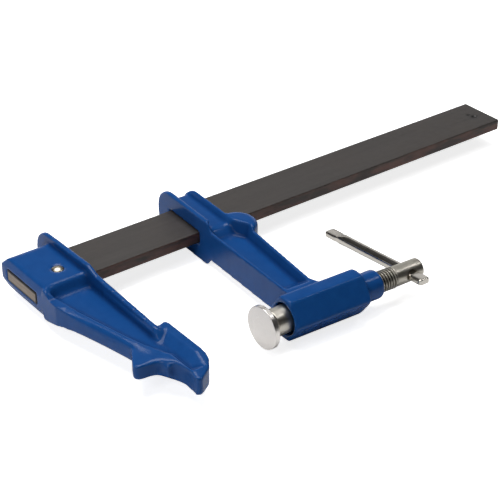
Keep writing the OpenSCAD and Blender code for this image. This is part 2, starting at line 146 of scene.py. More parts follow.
def skin(name, rings, marks):
    """Mesh over a stack of closed rings: quads between neighbours and a fan to the middle of the first and
    last ring. marks holds point values that the finish reads, one per ring point: (length, ring points) for a
    number and (length, ring points, 3) for a vector."""
    n, m, _ = rings.shape
    points = np.concatenate([rings.reshape(-1, 3), rings[:1].mean(1), rings[-1:].mean(1)])
    row, col = np.arange(n - 1)[:, None] * m, np.arange(m)[None, :]
    nxt = (col + 1) % m
    quads = np.stack([row + col, row + nxt, row + m + nxt, row + m + col], -1).reshape(-1, 4)
    first, last = np.full(m, n * m), np.full(m, n * m + 1)
    start = np.stack([first, nxt[0], col[0]], -1)
    finish = np.stack([last, (n - 1) * m + col[0], (n - 1) * m + nxt[0]], -1)
    mesh = bpy.data.meshes.new(name)
    mesh.from_pydata(points.tolist(), [], quads.tolist() + start.tolist() + finish.tolist())
    for key, values in marks.items():
        if values.ndim == 3:
            flat = np.concatenate([values.reshape(-1, 3), values[:1].mean(1), values[-1:].mean(1)])
            mesh.attributes.new(key, "FLOAT_VECTOR", "POINT").data.foreach_set("vector", flat.ravel())
        else:
            flat = np.concatenate([values.ravel(), [values[0].mean()], [values[-1].mean()]])
            mesh.attributes.new(key, "FLOAT", "POINT").data.foreach_set("value", flat)
    return mesh


def turned(name, path, columns, place, groove=None):
    """Turned piece: the path (along, radius) goes round the axis, and place puts (along, a, b) in the frame.
    groove holds one value from 0 to 1 per path point, where painted shade darkens the finish."""
    turn = np.linspace(0, 2 * math.pi, columns, endpoint=False)[None, :]
    along, radius = path[:, :1], path[:, 1:]
    a, b = radius * np.cos(turn), radius * np.sin(turn)
    run = np.concatenate([[0], np.cumsum(np.linalg.norm(np.diff(path, axis=0), axis=1))])[:, None]
    lay = np.stack(np.broadcast_arrays(run, a, b), -1)
    dark = (0 * along if groove is None else groove[:, None]) + 0 * turn
    return skin(name, place(along, a, b), {"lay": lay, "groove": dark})


def smoothstep(x):
    """0 below 0, 1 above 1, and an S-shaped way between them."""
    x = np.clip(x, 0, 1)
    return x * x * (3 - 2 * x)


def shoulder(x):
    """Quarter of a circle, that falls from 1 at 0 to 0 at 1 and stays there."""
    return 1 - np.sqrt(1 - (1 - np.clip(x, 0, 1)) ** 2)


# ---------------------------------------------------------------- castings
VOXEL = 0.6
MELT_ROUNDS, MELT_LEAST, MELT_EVEN, MELT_MOST = 24, 0.12, 0.5, 0.55
HOLLOW_REACH, HOLLOW_FROM, HOLLOW_SPAN = 2.6, 0.12, 0.9
MARK_GAIN = 14


def covered(node, name):
    """Even net of squares over a merged copy of a CAD node."""
    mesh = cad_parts[node].data.copy()
    work = bmesh.new()
    work.from_mesh(mesh)
    bmesh.ops.remove_doubles(work, verts=work.verts, dist=2e-6)
    work.to_mesh(mesh)
    work.free()
    rough = bpy.data.objects.new(name + "_rough", mesh)
    bpy.context.scene.collection.objects.link(rough)
    net = rough.modifiers.new("net", "REMESH")
    net.mode = "VOXEL"
    net.voxel_size = VOXEL * MM
    net.adaptivity = 0.0
    made = final_mesh(rough)
    bpy.data.objects.remove(rough)
    made.name = name
    return made


def final_mesh(thing):
    """New mesh of an object with its modifiers."""
    bpy.context.view_layer.update()
    return bpy.data.meshes.new_from_object(thing.evaluated_get(bpy.context.evaluated_depsgraph_get()))


def distance(co, start, finish):
    """Distance of each point, in metres, from the line between two points in millimetres."""
    start, finish = np.array(start) * MM, np.array(finish) * MM
    way = finish - start
    on_line = np.clip((co - start) @ way / max(way @ way, 1e-12), 0, 1)[:, None]
    return np.linalg.norm(co - start - on_line * way, axis=1, keepdims=True)


def casting(node, name, body, soft, deep, pulls, limit=None):
    """Cast skin of a CAD node: an even net whose corners melt by rounds of averaging, hollows more than
    edges. They melt most of all inside the soft spots (centre, radius), and over some millimetres around the
    deep lines (start, finish, radius, spread). Each pull (centre, radius, shift) moves the skin by a bell
    curve. The limit, a function of x and y, is the most that the skin rises above the middle of the casting.
    The marks are "edge", how far a point stands out from its neighbours, "dip", how far it lies in, and
    "hollow", how far it lies below the mean of the skin for some millimetres around."""
    mesh = covered(node, name)
    n = len(mesh.vertices)
    co = np.zeros(n * 3)
    mesh.vertices.foreach_get("co", co)
    co = co.reshape(-1, 3)
    ends = np.zeros(len(mesh.edges) * 2, int)
    mesh.edges.foreach_get("vertices", ends)
    a, b = ends.reshape(-1, 2).T
    count = np.bincount(a, minlength=n) + np.bincount(b, minlength=n)

    def around(v):
        """Mean of each point's neighbours."""
        total = np.stack([np.bincount(a, v[b, k], n) + np.bincount(b, v[a, k], n) for k in range(v.shape[1])], -1)
        return total / count[:, None]

    def rounds(reach):
        """Rounds of even averaging that carry over about the given millimetres."""
        return range(round(4 * (reach / VOXEL) ** 2))

    def normals():
        """Directions of the mesh's points."""
        found = np.zeros(n * 3)
        mesh.vertices.foreach_get("normal", found)
        return found.reshape(-1, 3)

    def bending():
        """How far each point lies below the mean of its neighbours, in net widths, spread over a few points."""
        mesh.vertices.foreach_set("co", co.ravel())
        mesh.update()
        bend = ((around(co) - co) * normals()).sum(1, keepdims=True) / (VOXEL * MM)
        for _ in range(3):
            bend = around(bend)
        return bend

    def keep(key, values):
        """Stores a mark from 0 to 1 on the points."""
        mesh.attributes.new(key, "FLOAT", "POINT").data.foreach_set("value", np.clip(values, 0, 1))

    if limit is not None:
        co[:, 2] = np.minimum(co[:, 2], limit(co[:, 0] / MM, co[:, 1] / MM) * MM)
    melt = np.full((n, 1), MELT_LEAST)
    for centre, radius in soft:
        far = distance(co, centre, centre) / (radius * MM)
        melt = np.maximum(melt, MELT_MOST * smoothstep(1.5 - far))
    for step in range(MELT_ROUNDS):
        if step % 4 == 0:
            share = np.maximum(melt, MELT_MOST * smoothstep(bending() * 9 - 0.1))
        if step == 2:
            share = np.maximum(share, MELT_EVEN)
        co = co + share * (around(co) - co)
    for start, finish, radius, spread in deep:
        share = MELT_EVEN * smoothstep(1.5 - distance(co, start, finish) / (radius * MM))
        for _ in rounds(spread):
            co = co + share * (around(co) - co)
    for centre, radius, shift in pulls:
        far = distance(co, centre, centre) / (radius * MM)
        co = co + np.exp(-far ** 2) * np.array(shift) * MM
    low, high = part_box(node)
    co = np.clip(co, np.array(low), np.array(high))
    bend = bending()[:, 0] * MARK_GAIN
    mean = co
    for _ in rounds(HOLLOW_REACH):
        mean = mean + MELT_EVEN * (around(mean) - mean)
    below = ((mean - co) * normals()).sum(1) / MM
    # hollow_shade and dip_shade drive painted shade in the enamel: a darker colour and less shine in hollows
    keep("hollow_shade", (below - HOLLOW_FROM) / HOLLOW_SPAN)
    keep("edge", -bend)
    keep("dip_shade", bend)
    return piece(name, mesh, body, [node])


def spot(s, t, z):
    """Point of the leaning jaw in millimetres, for a soft spot."""
    return tuple(leaned(s, t, z) / MM)


PALM = [((x, y, side * z), radius) for x, y, z, radius in ((-22, 2, 5, 11), (-15, -10, 5, 8), (-9, 22, 6, 4))
        for side in (1, -1)]
NECK = [(spot(93, 97, side * 6), 9) for side in (-1, 1)]
RAMP = [((-35, 93.5, 8), (-14, 93.5, 8), 5.2, 2.2), ((-28, 93.5, -8), (-14, 93.5, -8), 5.2, 2.2)]
BEAD_FOOT = [((-35, 66, z), (-25, 18, z), 4.6, 1.5) for z in (-5, 5)]
NOSE_CORNER = [((-13, 20, z), (-14, 12, z), 4.0, 1.2) for z in (-7, 7)]
TROUGH_END = [((81, 92.8, z), (89, 92.8, z), 4.2, 2.0) for z in (-9, 9)]
HOOK_TIP = [((-37.5, 3.0, 0), 5.5, (-1.1, 0.3, 0))]


def bead_limit(x, y):
    """Half height of the fixed arm: that of the head, with an S-shaped step down to the bead along its edge."""
    low = BEAD_HALF + (HEAD_HALF - BEAD_HALF) * smoothstep((y - 87.0) / 7.5)
    return HEAD_HALF + 9.0 * smoothstep((x + 31) / 5) - (HEAD_HALF - low) * smoothstep((-31 - x) / 3)


fixed_casting = casting("fixed_jaw", "fixed_casting", "frame", PALM, RAMP + BEAD_FOOT + NOSE_CORNER, HOOK_TIP,
                        bead_limit)
sliding_casting = casting("sliding_jaw", "sliding_casting", "slider", NECK, TROUGH_END, [])


# ---------------------------------------------------------------- bar with its punched stop
def bar_skin():
    """Rolled bar: a rectangle with rounded corners goes along X, draws in at both sawn ends, and its upper
    face sinks by a bell curve at each dent of the punched stop, with a low rim pushed up around it. Three
    smaller rings on each end face hold its flat middle, and the outermost is marked as the outline."""
    hw, hh, r = BAR_WIDE / 2, BAR_THICK / 2, BAR_EDGE_R
    loop = [(0, hh, 0), (-hw, hh, r), (-hw, -hh, r), (hw, -hh, r), (hw, hh, r), (0, hh, 0)]
    section = dense(rounded(loop), 0.5)[:-1]
    along = np.unique(np.concatenate([[0, 0.12, 0.3, 0.6, 1.2], np.arange(5, 376, 5), np.arange(378, 398, 0.5),
                                      [399.0, 399.5, 399.75, 399.92, BAR_LEN]]))
    cap = np.concatenate([CAP_RINGS, 0 * along, CAP_RINGS[::-1]])
    along = np.concatenate([[0, 0, 0], along, [BAR_LEN] * 3])
    gap = np.minimum(along, BAR_LEN - along)
    inset = cap + SAWN_EDGE[1] * shoulder(gap / SAWN_EDGE[0])
    y = section[None, :, 0] * (1 - inset[:, None] / hw)
    z = section[None, :, 1] * (1 - inset[:, None] / hh)
    x = np.broadcast_to(along[:, None], y.shape)
    top = smoothstep((section[None, :, 1] - hh + 0.3) / 0.3)
    punched = 0 * x
    for px, py, wide, deep in STOP_DENTS:
        d = np.sqrt(((x - px) * 0.8) ** 2 + (y - py) ** 2) / wide
        punched = np.maximum(punched, top * smoothstep((2.1 - d) / 1.2))
        rim = 0.22 * np.exp(-((d - 1.7) / 0.5) ** 2)
        z = z - top * deep * (np.exp(-d ** 2) - rim)
    z = np.minimum(z, hh + 0.02)
    narrow = smoothstep((np.abs(section[None, :, 0]) - hw + 0.45) / 0.4) + 0 * x
    end = smoothstep((0.5 - gap[:, None]) / 0.4) + 0 * x
    outline = ((gap < 0.4) & (cap < 0.6))[:, None] + 0 * x
    rings = np.stack([x + BAR_START, y + BAR_NEAR + hw, z], -1) * MM
    return skin("flat_bar", rings, {"narrow": narrow, "end": end, "outline": outline, "punched": punched})


flat_bar = piece("flat_bar", bar_skin(), "frame", ["bar"], 40)


# ---------------------------------------------------------------- rivet
def rivet_skin():
    """Rivet: a head that is a cap of a ball, a shank and the same head below. The radius of the ball follows
    from the rise and the half width of the cap."""
    top = HEAD_HALF - 0.8
    ball = (RIVET_CAP_R ** 2 + RIVET_RISE ** 2) / (2 * RIVET_RISE)
    w = np.linspace(0.004, math.asin(RIVET_CAP_R / ball), 16)
    dome = np.stack([top + RIVET_RISE - ball * (1 - np.cos(w)), ball * np.sin(w)], -1)
    upper = np.concatenate([dome, [[top, RIVET_CAP_R], [top, RIVET_R]]])
    path = np.concatenate([upper, upper[::-1] * [-1, 1]])

    def place(along, a, b):
        return np.stack(np.broadcast_arrays(RIVET_X + a, RIVET_Y - b, along), -1) * MM

    # painted shade: the groove mark darkens the outer ring of each rivet head
    return turned("rivet", path, 64, place, smoothstep((path[:, 1] - 3.3) / 0.8))


rivet = piece("rivet", rivet_skin(), "frame", ["jaw_rivet"], 50)


# ---------------------------------------------------------------- spindle
def thread_radius(s, turn):
    """Right-hand thread: the height of the tooth depends on s divided by the pitch minus the share of a turn.
    The flanks are straight, the crest is an eighth and the root a quarter of the pitch wide."""
    phase = np.mod(s / PITCH - turn / (2 * math.pi), 1.0)
    tooth = np.clip((0.5 - np.abs(phase - 0.5) - 0.125) / 0.3125, 0, 1)
    tooth = smoothstep(tooth) * 0.5 + tooth * 0.5
    return THREAD_R - TOOTH * PITCH * (1 - tooth)


def spindle_skin():
    """Spindle: ball, neck, thread with a chamfered start and a run-out, and plain head with a rounded end."""
    ball = np.linspace(math.pi, math.asin(NECK_R / BALL_R), 22)[:-1]
    front = np.stack([BALL_S + BALL_R * np.cos(ball), BALL_R * np.sin(ball)], -1)
    front[0, 1] = ON_AXIS
    joint = BALL_S + math.sqrt(BALL_R ** 2 - NECK_R ** 2)
    front = np.concatenate([front, [[joint, NECK_R], [SHANK_S - 0.6, NECK_R], [SHANK_S - 0.1, NECK_R + 0.2],
                                    [SHANK_S, NECK_R + 0.6], [SHANK_S, 5.4]]])
    tooth_s = np.arange(SHANK_S + 0.02, HEAD_S - 0.01, PITCH / (18))
    head = dense(rounded([(HEAD_S, HEAD_R, 0), (END_S, HEAD_R, 1.5), (END_S, ON_AXIS, 0)], 8), 1.2)
    s = np.concatenate([front[:, 0], tooth_s, head[:, 0]])[:, None]
    turn = np.linspace(0, 2 * math.pi, 72, endpoint=False)[None, :]
    plain = np.concatenate([front[:, 1], np.full(len(tooth_s), HEAD_R), head[:, 1]])[:, None]
    is_thread = np.concatenate([front[:, 1] * 0, tooth_s * 0 + 1, head[:, 1] * 0])[:, None]
    tooth = np.minimum(thread_radius(s, turn), THREAD_FRONT_R + (s - SHANK_S) * 1.2)
    run_out = smoothstep((s - HEAD_S + RUN_OUT * PITCH) / (RUN_OUT * PITCH))
    tooth = tooth + (plain - tooth) * run_out
    radius = plain + (tooth - plain) * is_thread
    a, b = radius * np.cos(turn), radius * np.sin(turn)
    lay = np.stack([s + 0 * turn, a, b], -1)
    # painted shade in the roots of the thread, carried by the groove mark
    groove = is_thread * smoothstep((THREAD_R - 0.25 - radius) / 0.8)
    return skin("spindle_screw", leaned(s, a, b), {"lay": lay, "groove": groove})


def handle_place(x, y, z):
    """Point of the handle: y runs along the rod, which is turned about the screw axis and leans with the
    jaw."""
    t = y * math.cos(HANDLE_TURN) - z * math.sin(HANDLE_TURN)
    h = y * math.sin(HANDLE_TURN) + z * math.cos(HANDLE_TURN)
    return leaned(HOLE_S + x, t, h)


def drilled(target):
    """Cuts the cross hole, whose mouths flare out, through the head of the spindle."""
    w = np.linspace(-9, 9, 73)
    path = np.stack([w, HOLE_R + HOLE_FLARE * smoothstep((np.abs(w) - 5.0) / 2.6)], -1)
    drill = bpy.data.objects.new("drill", turned("drill", path, 64, lambda y, a, b: handle_place(a, y, -b)))
    whole = bpy.data.objects.new("whole", target)
    for thing in (drill, whole):
        bpy.context.scene.collection.objects.link(thing)
    cut = whole.modifiers.new("hole", "BOOLEAN")
    cut.operation, cut.object, cut.solver = "DIFFERENCE", drill, "EXACT"
    made = final_mesh(whole)
    bpy.data.objects.remove(whole)
    bpy.data.objects.remove(drill)
    return made


spindle_screw = piece("spindle_screw", drilled(spindle_skin()), "screw", ["spindle"], 42)


# ---------------------------------------------------------------- handle rod
def handle_skin():
    """Handle rod: rings along the rod go from round to a flattened, wider shape at both ends. Each ring is a
    rounded rectangle whose power rises from 2 (round) to 5 (flat), and the tips draw in like the corner of a
    square."""
    tip_near, tip_far = ROD_NEAR - FLAT_LEN, ROD_NEAR + ROD_FREE + FLAT_LEN
    round_near, round_far = ROD_NEAR + 2, 65
    tip = 1.2 * (1 - np.cos(np.linspace(0, math.pi / 2, 14)))
    y = np.unique(np.concatenate([
        tip_near + tip, np.linspace(tip_near + tip[-1], round_near, 34), np.linspace(round_near, round_far, 20),
        np.linspace(round_far, tip_far - 2 * tip[-1], 34), tip_far - tip]))[:, None]
    from_tip = np.minimum(y - tip_near, tip_far - y)
    flat = smoothstep((FLAT_LEN + 4.4 - from_tip) / 5.6)
    broad = smoothstep((FLAT_LEN + 0.5 - from_tip) / 4.5)
    wide = ROD_R + FLAT_WIDER * broad - 2.0 * shoulder(from_tip / 2.2)
    thick = ROD_R - FLAT_THINNER * flat - 0.55 * shoulder(from_tip / 0.7)
    power = 2 + 3.0 * flat
    turn = np.linspace(0, 2 * math.pi, 72, endpoint=False)[None, :]
    c, s = np.cos(turn), np.sin(turn)
    spread = (np.abs(c) ** power + np.abs(s) ** power) ** (-1 / power)
    x, z = wide * spread * c, thick * spread * s
    lay = np.stack([y + 0 * x, x, z], -1)
    return skin("handle_rod", handle_place(x, y, -z), {"lay": lay, "groove": 0 * y + 0 * x})


handle_rod = piece("handle_rod", handle_skin(), "handle", ["tommy_bar"], 60)


# ---------------------------------------------------------------- swivel pad
BALL_X = BALL_S * math.cos(LEAN)


def pad_skin():
    """Swivel pad: disc, neck and cup in one turned path, down into the cup, the ring groove and the ball
    socket."""
    outer = rounded([(PAD_FACE, ON_AXIS, 0), (PAD_FACE, PAD_R, 0.4), (PAD_BACK, PAD_R, 0.4),
                     (PAD_BACK, PAD_NECK_R, 0.5), (CUP_FRONT, PAD_NECK_R, 0.2), (CUP_FRONT, CUP_R, 0.5),
                     (CUP_BACK, CUP_R, 0.9), (CUP_BACK, CUP_MOUTH_R, 0.4), (GROOVE_BACK, CUP_MOUTH_R, 0)])
    bell = np.linspace(math.pi / 2, math.pi, 16)
    socket = np.stack([SOCKET_R * np.cos(bell), np.maximum(SOCKET_R * np.sin(bell), ON_AXIS)], -1)
    groove = np.array([[GROOVE_BACK, GROOVE_R], [GROOVE_FRONT, GROOVE_R], [GROOVE_FRONT, SOCKET_R]])
    path = dense(np.concatenate([outer, groove, socket]), 0.9)

    def place(along, a, b):
        return np.stack(np.broadcast_arrays(BALL_X + along, a - BALL_S * math.sin(LEAN), b), -1) * MM

    return turned("pad_disc", path, 128, place)


pad_disc = piece("pad_disc", pad_skin(), "swivel_pad", ["pad"], 45)


# ---------------------------------------------------------------- shared effects
def group(name, inputs, outputs):
    """New shader node group with named inputs (name, kind, value) and outputs (name, kind)."""
    tree = bpy.data.node_groups.new(name, "ShaderNodeTree")
    for key, kind, value in inputs:
        socket = tree.interface.new_socket(name=key, in_out="INPUT", socket_type=kind)
        if value is not None:
            socket.default_value = value
    for key, kind in outputs:
        tree.interface.new_socket(name=key, in_out="OUTPUT", socket_type=kind)
    return tree, tree.nodes.new("NodeGroupInput"), tree.nodes.new("NodeGroupOutput")


def node(tree, kind, **settings):
    """Node of a tree. A setting named like a socket, with spaces as _, sets that socket, any other the node
    itself."""
    made = tree.nodes.new(kind)
    for key, value in settings.items():
        if hasattr(made, key) and key not in ("inputs", "outputs"):
            setattr(made, key, value)
        else:
            made.inputs[key.replace("_", " ")].default_value = value
    return made


def feed(tree, socket, value):
    """Links a socket to another one, or sets its value. None leaves it as it is."""
    if hasattr(value, "is_output"):
        tree.links.new(value, socket)
    elif value is not None:
        socket.default_value = value


def maths(tree, operation, a, b=None, c=None, clamp=False):
    """Math node on up to three values or sockets."""
    made = node(tree, "ShaderNodeMath", operation=operation, use_clamp=clamp)
    for socket, value in zip(made.inputs, (a, b, c)):
        feed(tree, socket, value)
    return made.outputs[0]


def ramp(tree, value, start, finish, low=0.0, high=1.0, kind="SMOOTHSTEP"):
    """Goes from low to high while the value goes from start to finish."""
    made = node(tree, "ShaderNodeMapRange", interpolation_type=kind)
    for socket, given in zip(made.inputs, (value, start, finish, low, high)):
        feed(tree, socket, given)
    return made.outputs[0]


def noise(tree, vector, detail, roughness=0.5, size=1.0):
    """Soft noise around one half. The size is how many waves there are to one unit of the vector."""
    made = node(tree, "ShaderNodeTexNoise", Detail=detail, Roughness=roughness)
    feed(tree, made.inputs["Vector"], vector)
    feed(tree, made.inputs["Scale"], size)
    return made.outputs[0]


def blend_colour(tree, share, a, b):
    """Mix of two colours or colour sockets by a share from 0 to 1."""
    made = node(tree, "ShaderNodeMix", data_type="RGBA")
    for index, value in ((0, share), (6, a), (7, b)):
        feed(tree, made.inputs[index], value)
    return made.outputs[2]


def make_grain():
    """Fine uneven surface: two noises of different size, as a height and as a value around one half."""
    tree, start, end = group("Grain", [("Vector", "NodeSocketVector", None), ("Size", "NodeSocketFloat", 900.0),
                                       ("Coarse", "NodeSocketFloat", 0.35)],
                             [("Height", "NodeSocketFloat"), ("Value", "NodeSocketFloat")])
    vector, size = start.outputs["Vector"], start.outputs["Size"]
    fine = noise(tree, vector, 3.0, 0.55, size)
    broad = noise(tree, vector, 2.0, 0.5, maths(tree, "MULTIPLY", size, 0.27))
    mix = node(tree, "ShaderNodeMix")
    for index, value in ((0, start.outputs["Coarse"]), (2, fine), (3, broad)):
        feed(tree, mix.inputs[index], value)
    tree.links.new(mix.outputs[0], end.inputs["Height"])
    tree.links.new(broad, end.inputs["Value"])
    return tree


def make_wear():
    """Edge wear: a mask that is strongest where the edge mark is high, broken up by noise."""
    tree, start, end = group("Edge wear", [("Vector", "NodeSocketVector", None), ("Edge", "NodeSocketFloat", 0.0),
                                           ("Amount", "NodeSocketFloat", 0.5),
                                           ("Size", "NodeSocketFloat", 300.0)],
                             [("Mask", "NodeSocketFloat")])
    broken = ramp(tree, noise(tree, start.outputs["Vector"], 4.0, 0.6, start.outputs["Size"]), 0.35, 0.65)
    both = maths(tree, "MULTIPLY", start.outputs["Edge"], broken)
    tree.links.new(maths(tree, "MULTIPLY", both, start.outputs["Amount"], clamp=True), end.inputs["Mask"])
    return tree


def make_dust():
    """Dust and handling marks: large soft patches, denser where the surface looks up."""
    tree, start, end = group("Dust", [("Vector", "NodeSocketVector", None), ("Size", "NodeSocketFloat", 30.0),
                                      ("Amount", "NodeSocketFloat", 0.3)], [("Mask", "NodeSocketFloat")])
    patch = ramp(tree, noise(tree, start.outputs["Vector"], 5.0, 0.6, start.outputs["Size"]), 0.42, 0.7)
    up = node(tree, "ShaderNodeSeparateXYZ")
    tree.links.new(node(tree, "ShaderNodeNewGeometry").outputs["Normal"], up.inputs[0])
    both = maths(tree, "MULTIPLY", patch, maths(tree, "MAXIMUM", up.outputs["Z"], 0.25))
    tree.links.new(maths(tree, "MULTIPLY", both, start.outputs["Amount"], clamp=True), end.inputs["Mask"])
    return tree


GRAIN, WEAR, DUST = make_grain(), make_wear(), make_dust()


def effect(tree, which, **settings):
    """One of the shared groups, with sockets or values for its inputs."""
    made = tree.nodes.new("ShaderNodeGroup")
    made.node_tree = which
    for key, value in settings.items():
        feed(tree, made.inputs[key], value)
    return made


def material(name):
    """Empty node material with its Principled node, the tree, and object coordinates."""
    made = bpy.data.materials.new(name)
    made.use_nodes = True
    tree = made.node_tree
    shader = next(n for n in tree.nodes if n.type == "BSDF_PRINCIPLED")
    where = node(tree, "ShaderNodeTexCoord").outputs["Object"]
    return made, tree, shader, where


def mark(tree, name, kind="Fac"):
    """A point value stored on the mesh."""
    return node(tree, "ShaderNodeAttribute", attribute_name=name).outputs[kind]


def bump(tree, height, distance, strength, under=None):
    """Bump from a height, over another bump if there is one. The distance is in metres."""
    made = node(tree, "ShaderNodeBump", Strength=strength, Distance=distance)
    tree.links.new(height, made.inputs["Height"])
    if under is not None:
        tree.links.new(under, made.inputs["Normal"])
    return made.outputs[0]


def stretched(tree, vector, scale):
    """The vector with each of its parts scaled."""
    made = node(tree, "ShaderNodeVectorMath", operation="MULTIPLY")
    made.inputs[1].default_value = scale
    tree.links.new(vector, made.inputs[0])
    return made.outputs[0]


# ---------------------------------------------------------------- materials
def blue_enamel():
    """Glossy blue enamel over a sand casting: orange peel, thin paint on edges, and painted shade in hollows and
    creases, where the colour darkens and the coat and the specular are turned down.
    """
    made, tree, shader, where = material("blue_enamel")
    grain = effect(tree, GRAIN, Vector=where, Size=520.0, Coarse=0.5)
    worn = effect(tree, WEAR, Vector=where, Edge=mark(tree, "edge"), Amount=0.06, Size=420.0)
    dust = effect(tree, DUST, Vector=where, Size=34.0, Amount=0.25)
    colour = blend_colour(tree, grain.outputs["Value"], (0.0066, 0.056, 0.215, 1), (0.0100, 0.074, 0.268, 1))
    # painted shade: a darker blue where the hollow_shade and dip_shade marks are high
    for key, amount, deep in (("hollow_shade", 0.75, (0.003, 0.022, 0.10, 1)), ("dip_shade", 0.6, (0.003, 0.026, 0.12, 1))):
        colour = blend_colour(tree, maths(tree, "MULTIPLY", mark(tree, key), amount), colour, deep)
    colour = blend_colour(tree, worn.outputs["Mask"], colour, (0.035, 0.16, 0.44, 1))
    tree.links.new(colour, shader.inputs["Base Color"])
    rough = maths(tree, "MULTIPLY_ADD", dust.outputs["Mask"], 0.25, 0.19)
    tree.links.new(rough, shader.inputs["Roughness"])
    tree.links.new(bump(tree, grain.outputs["Height"], 0.00016, 0.35), shader.inputs["Normal"])
    # painted shade on the reflection: coat and specular drop in the same hollows
    sunk = maths(tree, "MAXIMUM", mark(tree, "dip_shade"), mark(tree, "hollow_shade"))
    shine = maths(tree, "MULTIPLY_ADD", sunk, -0.85, 1.0)
    tree.links.new(maths(tree, "MULTIPLY", shine, 0.06), shader.inputs["Coat Weight"])
    tree.links.new(maths(tree, "MULTIPLY", shine, 0.14), shader.inputs["Specular IOR Level"])
    shader.inputs["Coat Roughness"].default_value = 0.06
    return made


def mill_scale():
    """Rolled bar: dark oxide skin with faint lengthwise streaks, rusty blots on the narrow sides, bare sawn
    ends and a dark punched stop."""
    made, tree, shader, where = material("bar_steel")
    streak = noise(tree, stretched(tree, where, (14.0, 420.0, 420.0)), 4.0, 0.6)
    blot = noise(tree, stretched(tree, where, (38.0, 200.0, 160.0)), 3.0, 0.6)
    saw = noise(tree, stretched(tree, where, (200.0, 90.0, 1500.0)), 2.0)
    grain = effect(tree, GRAIN, Vector=where, Size=700.0, Coarse=0.3)
    patch = effect(tree, DUST, Vector=where, Size=22.0, Amount=1.0)
    face = blend_colour(tree, streak, (0.0305, 0.0266, 0.0250, 1), (0.059, 0.0512, 0.0472, 1))
    face = blend_colour(tree, maths(tree, "MULTIPLY", patch.outputs["Mask"], 0.3), face, (0.052, 0.041, 0.035, 1))
    rust = blend_colour(tree, ramp(tree, blot, 0.36, 0.64), (0.030, 0.022, 0.019, 1), (0.094, 0.043, 0.032, 1))
    face = blend_colour(tree, mark(tree, "narrow"), face, rust)
    # darker over the punched stop and a little way around it
    punch_dark = maths(tree, "MULTIPLY", mark(tree, "punched"), 0.8)
    face = blend_colour(tree, punch_dark, face, (0.008, 0.007, 0.0065, 1))
    cut = blend_colour(tree, saw, (0.11, 0.085, 0.066, 1), (0.38, 0.31, 0.245, 1))
    cut = blend_colour(tree, mark(tree, "outline"), cut, (0.010, 0.009, 0.009, 1))
    face = blend_colour(tree, mark(tree, "end"), face, cut)
    tree.links.new(face, shader.inputs["Base Color"])
    shader.inputs["Metallic"].default_value = 0.25
    tree.links.new(maths(tree, "MULTIPLY_ADD", grain.outputs["Value"], 0.2, 0.38), shader.inputs["Roughness"])
    lines = bump(tree, streak, 0.00008, 0.25)
    tree.links.new(bump(tree, grain.outputs["Height"], 0.00008, 0.3, lines), shader.inputs["Normal"])
    return made


def plated(name, colour, dark, rough_low, rough_span, scale):
    """Plated steel with tool marks: noise on the lay of the surface, drawn out across or along it, and painted
    shade where the groove mark is high."""
    made, tree, shader, where = material(name)
    lines = noise(tree, stretched(tree, mark(tree, "lay", "Vector"), scale), 3.0, 0.6)
    smudge = effect(tree, DUST, Vector=where, Size=90.0, Amount=0.8)
    shade = blend_colour(tree, smudge.outputs["Mask"], colour, dark)
    # painted shade in the thread roots and on the outer rings of the rivet heads
    shade = blend_colour(tree, mark(tree, "groove"), shade, (0.10, 0.092, 0.078, 1))
    tree.links.new(shade, shader.inputs["Base Color"])
    shader.inputs["Metallic"].default_value = 1.0
    tree.links.new(maths(tree, "MULTIPLY_ADD", lines, rough_span, rough_low), shader.inputs["Roughness"])
    tree.links.new(bump(tree, lines, 0.00001, 0.5), shader.inputs["Normal"])
    return made


def pad_zinc():
    """Plating of the swivel pad, one metal: painted light on the disc and painted shade on the neck and the cup,
    which are also a little rougher.
    """
    made, tree, shader, where = material("satin_zinc")
    along = node(tree, "ShaderNodeSeparateXYZ")
    tree.links.new(where, along.inputs[0])
    edge = (BALL_X + PAD_BACK) * MM
    behind = ramp(tree, along.outputs["X"], edge + 0.0001, edge + 0.0006, kind="LINEAR")
    lines = noise(tree, stretched(tree, mark(tree, "lay", "Vector"), (6.0, 0.08, 0.08)), 3.0, 0.6)
    smudge = effect(tree, DUST, Vector=where, Size=90.0, Amount=0.8)
    # painted light and shade: a paler copy of the plating on the disc, a darker copy on the neck and the cup
    disc = blend_colour(tree, smudge.outputs["Mask"], (0.81, 0.775, 0.74, 1), (0.72, 0.68, 0.645, 1))
    cup = blend_colour(tree, lines, (0.54, 0.51, 0.45, 1), (0.64, 0.61, 0.54, 1))
    tree.links.new(blend_colour(tree, behind, disc, cup), shader.inputs["Base Color"])
    shader.inputs["Metallic"].default_value = 1.0
    rough = maths(tree, "MULTIPLY_ADD", behind, 0.05, maths(tree, "MULTIPLY_ADD", lines, 0.16, 0.22))
    tree.links.new(rough, shader.inputs["Roughness"])
    tree.links.new(bump(tree, lines, 0.00002, 0.5), shader.inputs["Normal"])
    return made


def ring_steel():
    """Spring steel of the hidden ring, with fine grain."""
    made, tree, shader, where = material("ring_steel")
    grain = effect(tree, GRAIN, Vector=where, Size=1500.0, Coarse=0.3)
    tree.links.new(blend_colour(tree, grain.outputs["Value"], (0.42, 0.41, 0.39, 1), (0.55, 0.54, 0.51, 1)),
                   shader.inputs["Base Color"])
    shader.inputs["Metallic"].default_value = 1.0
    shader.inputs["Roughness"].default_value = 0.35
    tree.links.new(bump(tree, grain.outputs["Height"], 0.00003, 0.3), shader.inputs["Normal"])
    return made


